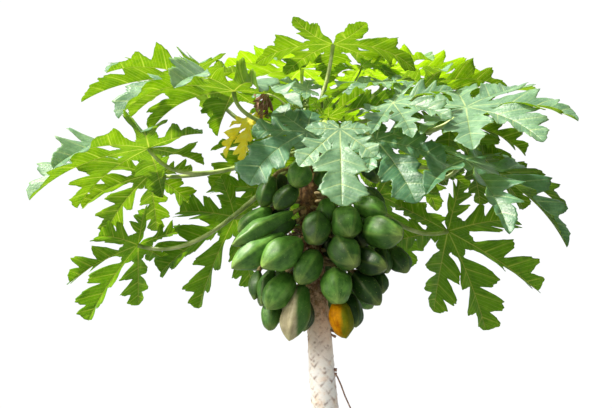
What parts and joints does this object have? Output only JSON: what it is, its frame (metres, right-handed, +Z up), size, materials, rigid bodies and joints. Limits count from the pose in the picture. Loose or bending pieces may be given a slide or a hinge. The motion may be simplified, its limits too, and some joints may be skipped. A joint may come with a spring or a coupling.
{
  "type": "papaya tree",
  "caption": "Fruiting papaya tree with one leaning trunk, a crown of long-stalked fan leaves and fruit packed round the trunk.",
  "frame": {"origin": "middle of the flat cut under the trunk, at ground level", "axes": "+Z up the tree, -Y towards the side that the picture shows, +X to the right in the picture"},
  "size_m": [2.1554, 1.6676, 3.4019],
  "materials": {
    "bark": "matte",
    "petiole": "satin",
    "leaf": "waxy satin",
    "withered_leaf": "matte",
    "fruit": "waxy satin"
  },
  "bodies": {
    "root": {"trunk": "bark", "petiole_low_left": "petiole", "blade_low_left": "leaf", "petiole_low_left_back": "petiole", "blade_low_left_back": "leaf", "petiole_low_right": "petiole", "blade_low_right": "leaf", "petiole_left_thick": "petiole", "blade_left_thick": "leaf", "petiole_left_under": "petiole", "blade_left_under": "leaf", "petiole_upper_left": "petiole", "blade_upper_left": "leaf", "petiole_far_upper_left": "petiole", "blade_far_upper_left": "leaf", "petiole_top": "petiole", "blade_top": "leaf", "petiole_top_left_back": "petiole", "blade_top_left_back": "leaf", "petiole_top_right_back": "petiole", "blade_top_right_back": "leaf", "petiole_right_back": "petiole", "blade_right_back": "leaf", "petiole_right_upper": "petiole", "blade_right_upper": "leaf", "petiole_right_lower": "petiole", "blade_right_lower": "leaf", "petiole_right_mid": "petiole", "blade_right_mid": "leaf", "petiole_right_inner": "petiole", "blade_right_inner": "leaf", "petiole_front": "petiole", "blade_front": "leaf", "petiole_front_left": "petiole", "blade_front_left": "leaf", "petiole_front_right": "petiole", "blade_front_right": "leaf", "petiole_front_upper_right": "petiole", "blade_front_upper_right": "leaf", "petiole_inner_right": "petiole", "blade_inner_right": "leaf", "petiole_back_left": "petiole", "blade_back_left": "leaf", "petiole_back_low_left": "petiole", "blade_back_low_left": "leaf", "petiole_back_low_right": "petiole", "blade_back_low_right": "leaf", "petiole_back_mid": "petiole", "blade_back_mid": "leaf", "petiole_back_right": "petiole", "blade_back_right": "leaf", "petiole_back_top": "petiole", "blade_back_top": "leaf", "petiole_withered": "petiole", "blade_withered": "withered_leaf", "fruit_upper": "fruit", "fruit_middle": "fruit", "fruit_lower": "fruit"}
  },
  "joints": []
}
